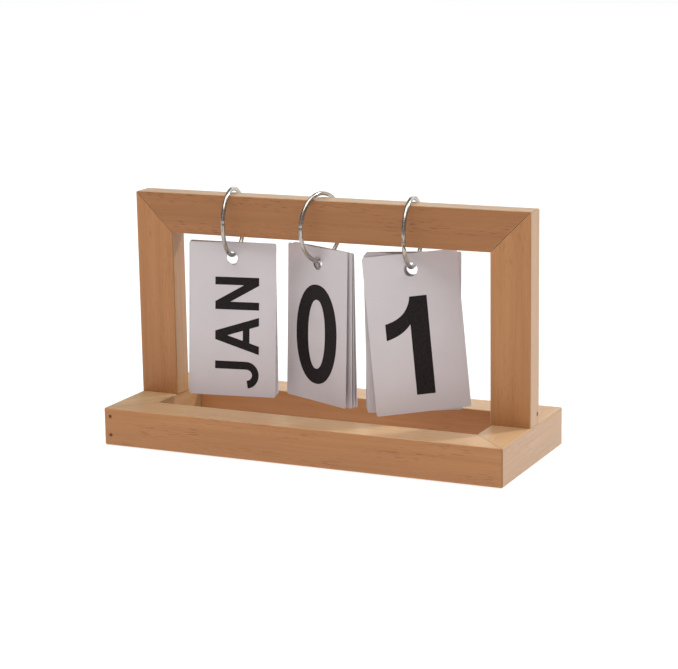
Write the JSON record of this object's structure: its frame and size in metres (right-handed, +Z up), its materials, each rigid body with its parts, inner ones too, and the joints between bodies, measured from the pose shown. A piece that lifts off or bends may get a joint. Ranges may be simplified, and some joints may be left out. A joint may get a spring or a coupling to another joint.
{
  "type": "flip desk calendar",
  "caption": "Wooden desk stand whose top rail carries three hinged book rings, each with a stack of month or date cards that flip over the rail.",
  "frame": {"origin": "middle of the base's underside, where it rests on a desk", "axes": "+Z up; +X to the right and -Y towards the reader, as the dates are read"},
  "size_m": [0.21, 0.0834, 0.1253],
  "materials": {
    "beech": "pale sanded beech with a thin clear oil, edges eased",
    "dowel": "plain turned dowel",
    "steel": "dull drawn wire",
    "chrome": "bright nickel plate",
    "card": "smooth matt off-white card",
    "ink": "near-black printed lettering on the cards"
  },
  "bodies": {
    "stand": {"base_front_rail": "beech", "base_back_rail": "beech", "base_left_rail": "beech", "base_right_rail": "beech", "left_post": "beech", "right_post": "beech", "top_rail": "beech", "brad_front_left_upper": "steel", "brad_front_left_lower": "steel", "brad_back_left_upper": "steel", "brad_back_left_lower": "steel", "brad_back_right_upper": "steel", "brad_back_right_lower": "steel", "brad_foot_left": "steel", "brad_foot_right": "steel", "foot_dowel_left": "dowel", "foot_dowel_right": "dowel"},
    "month_ring_lower": {"month_ring_lower": "chrome", "month_ring_rivet": "chrome"},
    "month_ring_upper": {"month_ring_upper": "chrome"},
    "month_card_jan": {"month_card_jan": "card"},
    "month_card_feb": {"month_card_feb": "card"},
    "month_card_mar": {"month_card_mar": "card"},
    "month_card_apr": {"month_card_apr": "card"},
    "month_card_may": {"month_card_may": "card"},
    "month_card_jun": {"month_card_jun": "card"},
    "month_card_jul": {"month_card_jul": "card"},
    "month_card_aug": {"month_card_aug": "card"},
    "month_card_sep": {"month_card_sep": "card"},
    "month_card_oct": {"month_card_oct": "card"},
    "month_card_nov": {"month_card_nov": "card"},
    "month_card_dec": {"month_card_dec": "card"},
    "tens_ring_lower": {"tens_ring_lower": "chrome", "tens_ring_rivet": "chrome"},
    "tens_ring_upper": {"tens_ring_upper": "chrome"},
    "tens_card_0": {"tens_card_0": "card"},
    "tens_card_1": {"tens_card_1": "card"},
    "tens_card_2": {"tens_card_2": "card"},
    "tens_card_3": {"tens_card_3": "card"},
    "units_ring_lower": {"units_ring_lower": "chrome", "units_ring_rivet": "chrome"},
    "units_ring_upper": {"units_ring_upper": "chrome"},
    "units_card_1": {"units_card_1": "card"},
    "units_card_2": {"units_card_2": "card"},
    "units_card_3": {"units_card_3": "card"},
    "units_card_4": {"units_card_4": "card"},
    "units_card_5": {"units_card_5": "card"},
    "units_card_6": {"units_card_6": "card"},
    "units_card_7": {"units_card_7": "card"},
    "units_card_8": {"units_card_8": "card"},
    "units_card_9": {"units_card_9": "card"},
    "units_card_0": {"units_card_0": "card"}
  },
  "joints": [
    {"name": "month_ring_slide", "type": "slide", "parent": "stand", "child": "month_ring_lower", "axis": [1, 0, 0], "range_m": [-0.0065, 0.002]},
    {"name": "month_ring_open", "type": "hinge", "parent": "month_ring_lower", "child": "month_ring_upper", "pos_m": [-0.05592, 0.01877, 0.1078], "axis": [0.9863, 0.165, 0], "range_deg": [-45, 0]},
    {"name": "month_front_flip", "type": "hinge", "parent": "month_ring_lower", "child": "month_card_jan", "pos_m": [-0.0532, 0.0025, 0.1078], "axis": [-0.9997, -0.0262, 0], "range_deg": [0, 110]},
    {"name": "month_card_feb_flip", "type": "hinge", "parent": "month_ring_lower", "child": "month_card_feb", "pos_m": [-0.0532, 0.0025, 0.1078], "axis": [0.9997, 0.0262, 0], "range_deg": [0, 9.55]},
    {"name": "month_card_mar_flip", "type": "hinge", "parent": "month_ring_lower", "child": "month_card_mar", "pos_m": [-0.0532, 0.0025, 0.1078], "axis": [0.9997, 0.0262, 0], "range_deg": [0, 19.1]},
    {"name": "month_card_apr_flip", "type": "hinge", "parent": "month_ring_lower", "child": "month_card_apr", "pos_m": [-0.0532, 0.0025, 0.1078], "axis": [0.9997, 0.0262, 0], "range_deg": [0, 28.65]},
    {"name": "month_card_may_flip", "type": "hinge", "parent": "month_ring_lower", "child": "month_card_may", "pos_m": [-0.0532, 0.0025, 0.1078], "axis": [0.9997, 0.0262, 0], "range_deg": [0, 38.19]},
    {"name": "month_card_jun_flip", "type": "hinge", "parent": "month_ring_lower", "child": "month_card_jun", "pos_m": [-0.0532, 0.0025, 0.1078], "axis": [0.9997, 0.0262, 0], "range_deg": [0, 47.74]},
    {"name": "month_card_jul_flip", "type": "hinge", "parent": "month_ring_lower", "child": "month_card_jul", "pos_m": [-0.0532, 0.0025, 0.1078], "axis": [0.9997, 0.0262, 0], "range_deg": [0, 57.28]},
    {"name": "month_card_aug_flip", "type": "hinge", "parent": "month_ring_lower", "child": "month_card_aug", "pos_m": [-0.0532, 0.0025, 0.1078], "axis": [0.9997, 0.0262, 0], "range_deg": [0, 66.83]},
    {"name": "month_card_sep_flip", "type": "hinge", "parent": "month_ring_lower", "child": "month_card_sep", "pos_m": [-0.0532, 0.0025, 0.1078], "axis": [0.9997, 0.0262, 0], "range_deg": [0, 76.37]},
    {"name": "month_card_oct_flip", "type": "hinge", "parent": "month_ring_lower", "child": "month_card_oct", "pos_m": [-0.0532, 0.0025, 0.1078], "axis": [0.9997, 0.0262, 0], "range_deg": [0, 85.92]},
    {"name": "month_card_nov_flip", "type": "hinge", "parent": "month_ring_lower", "child": "month_card_nov", "pos_m": [-0.0532, 0.0025, 0.1078], "axis": [0.9997, 0.0262, 0], "range_deg": [0, 95.47]},
    {"name": "month_stack_flip", "type": "hinge", "parent": "month_ring_lower", "child": "month_card_dec", "pos_m": [-0.0532, 0.0025, 0.1078], "axis": [0.9997, 0.0262, 0], "range_deg": [0, 105]},
    {"name": "tens_ring_slide", "type": "slide", "parent": "stand", "child": "tens_ring_lower", "axis": [1, 0, 0], "range_m": [-0.002, 0.0045]},
    {"name": "tens_ring_open", "type": "hinge", "parent": "tens_ring_lower", "child": "tens_ring_upper", "pos_m": [-0.00215, 0.0187, 0.1078], "axis": [0.9816, -0.1908, 0], "range_deg": [-45, 0]},
    {"name": "tens_front_flip", "type": "hinge", "parent": "tens_ring_lower", "child": "tens_card_0", "pos_m": [-0.0053, 0.0025, 0.1078], "axis": [-0.9997, 0.0262, 0], "range_deg": [0, 100]},
    {"name": "tens_card_1_flip", "type": "hinge", "parent": "tens_ring_lower", "child": "tens_card_1", "pos_m": [-0.0053, 0.0025, 0.1078], "axis": [0.9997, -0.0262, 0], "range_deg": [0, 35.01]},
    {"name": "tens_card_2_flip", "type": "hinge", "parent": "tens_ring_lower", "child": "tens_card_2", "pos_m": [-0.0053, 0.0025, 0.1078], "axis": [0.9997, -0.0262, 0], "range_deg": [0, 70.01]},
    {"name": "tens_stack_flip", "type": "hinge", "parent": "tens_ring_lower", "child": "tens_card_3", "pos_m": [-0.0053, 0.0025, 0.1078], "axis": [0.9997, -0.0262, 0], "range_deg": [0, 105]},
    {"name": "units_ring_slide", "type": "slide", "parent": "stand", "child": "units_ring_lower", "axis": [1, 0, 0], "range_m": [-0.0045, 0.01]},
    {"name": "units_ring_open", "type": "hinge", "parent": "units_ring_lower", "child": "units_ring_upper", "pos_m": [0.04513, -0.0137, 0.10551], "axis": [-0.9914, -0.1305, 0], "range_deg": [-45, 0]},
    {"name": "units_front_flip", "type": "hinge", "parent": "units_ring_lower", "child": "units_card_1", "pos_m": [0.043, 0.0025, 0.1078], "axis": [-0.9997, -0.0262, 0], "range_deg": [0, 100]},
    {"name": "units_card_2_flip", "type": "hinge", "parent": "units_ring_lower", "child": "units_card_2", "pos_m": [0.043, 0.0025, 0.1078], "axis": [0.9997, 0.0262, 0], "range_deg": [0, 11.12]},
    {"name": "units_card_3_flip", "type": "hinge", "parent": "units_ring_lower", "child": "units_card_3", "pos_m": [0.043, 0.0025, 0.1078], "axis": [0.9997, 0.0262, 0], "range_deg": [0, 22.23]},
    {"name": "units_card_4_flip", "type": "hinge", "parent": "units_ring_lower", "child": "units_card_4", "pos_m": [0.043, 0.0025, 0.1078], "axis": [0.9997, 0.0262, 0], "range_deg": [0, 33.34]},
    {"name": "units_card_5_flip", "type": "hinge", "parent": "units_ring_lower", "child": "units_card_5", "pos_m": [0.043, 0.0025, 0.1078], "axis": [0.9997, 0.0262, 0], "range_deg": [0, 44.45]},
    {"name": "units_card_6_flip", "type": "hinge", "parent": "units_ring_lower", "child": "units_card_6", "pos_m": [0.043, 0.0025, 0.1078], "axis": [0.9997, 0.0262, 0], "range_deg": [0, 55.57]},
    {"name": "units_card_7_flip", "type": "hinge", "parent": "units_ring_lower", "child": "units_card_7", "pos_m": [0.043, 0.0025, 0.1078], "axis": [0.9997, 0.0262, 0], "range_deg": [0, 66.68]},
    {"name": "units_card_8_flip", "type": "hinge", "parent": "units_ring_lower", "child": "units_card_8", "pos_m": [0.043, 0.0025, 0.1078], "axis": [0.9997, 0.0262, 0], "range_deg": [0, 77.79]},
    {"name": "units_card_9_flip", "type": "hinge", "parent": "units_ring_lower", "child": "units_card_9", "pos_m": [0.043, 0.0025, 0.1078], "axis": [0.9997, 0.0262, 0], "range_deg": [0, 88.9]},
    {"name": "units_stack_flip", "type": "hinge", "parent": "units_ring_lower", "child": "units_card_0", "pos_m": [0.043, 0.0025, 0.1078], "axis": [0.9997, 0.0262, 0], "range_deg": [0, 100]}
  ],
  "couplings": [
    {"joint": "month_card_feb_flip", "follows": "month_stack_flip", "ratio": 0.090909},
    {"joint": "month_card_mar_flip", "follows": "month_stack_flip", "ratio": 0.18182},
    {"joint": "month_card_apr_flip", "follows": "month_stack_flip", "ratio": 0.27273},
    {"joint": "month_card_may_flip", "follows": "month_stack_flip", "ratio": 0.36364},
    {"joint": "month_card_jun_flip", "follows": "month_stack_flip", "ratio": 0.45454},
    {"joint": "month_card_jul_flip", "follows": "month_stack_flip", "ratio": 0.54546},
    {"joint": "month_card_aug_flip", "follows": "month_stack_flip", "ratio": 0.63636},
    {"joint": "month_card_sep_flip", "follows": "month_stack_flip", "ratio": 0.72727},
    {"joint": "month_card_oct_flip", "follows": "month_stack_flip", "ratio": 0.81818},
    {"joint": "month_card_nov_flip", "follows": "month_stack_flip", "ratio": 0.90909},
    {"joint": "tens_card_1_flip", "follows": "tens_stack_flip", "ratio": 0.33333},
    {"joint": "tens_card_2_flip", "follows": "tens_stack_flip", "ratio": 0.66667},
    {"joint": "units_card_2_flip", "follows": "units_stack_flip", "ratio": 0.11111},
    {"joint": "units_card_3_flip", "follows": "units_stack_flip", "ratio": 0.22222},
    {"joint": "units_card_4_flip", "follows": "units_stack_flip", "ratio": 0.33333},
    {"joint": "units_card_5_flip", "follows": "units_stack_flip", "ratio": 0.44444},
    {"joint": "units_card_6_flip", "follows": "units_stack_flip", "ratio": 0.55556},
    {"joint": "units_card_7_flip", "follows": "units_stack_flip", "ratio": 0.66667},
    {"joint": "units_card_8_flip", "follows": "units_stack_flip", "ratio": 0.77778},
    {"joint": "units_card_9_flip", "follows": "units_stack_flip", "ratio": 0.88889}
  ]
}
